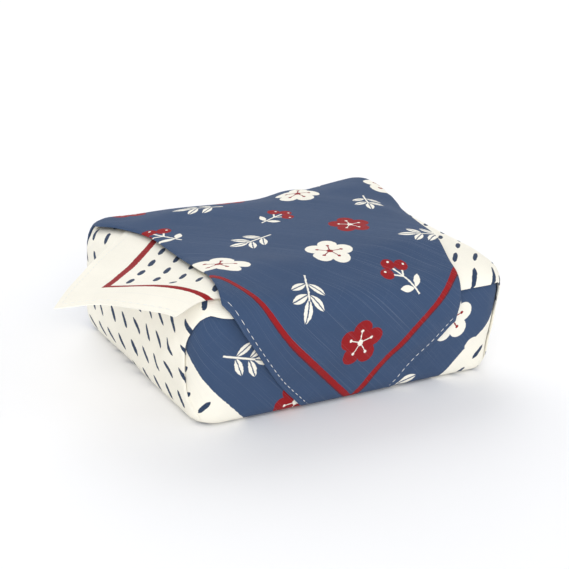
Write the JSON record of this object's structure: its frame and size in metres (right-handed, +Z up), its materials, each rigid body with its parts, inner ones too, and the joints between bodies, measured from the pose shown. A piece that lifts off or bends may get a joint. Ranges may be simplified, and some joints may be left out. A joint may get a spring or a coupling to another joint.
{
  "type": "furoshiki wrap",
  "caption": "Square cotton wrapping cloth folded flat round a low box shape, last corner tucked under the front, one corner sticking out past the left end.",
  "frame": {"origin": "on the surface that the wrap lies on, under the middle of the wrapped box shape", "axes": "+X along the long side of the box shape, away from the corner that sticks out; +Z up; the side that the last corner comes down faces -Y"},
  "size_m": [0.2183, 0.133, 0.0657],
  "materials": {
    "wrap_cloth": "plain slub cotton, matt"
  },
  "bodies": {
    "root": {"wrap_cloth": "wrap_cloth"}
  },
  "joints": []
}
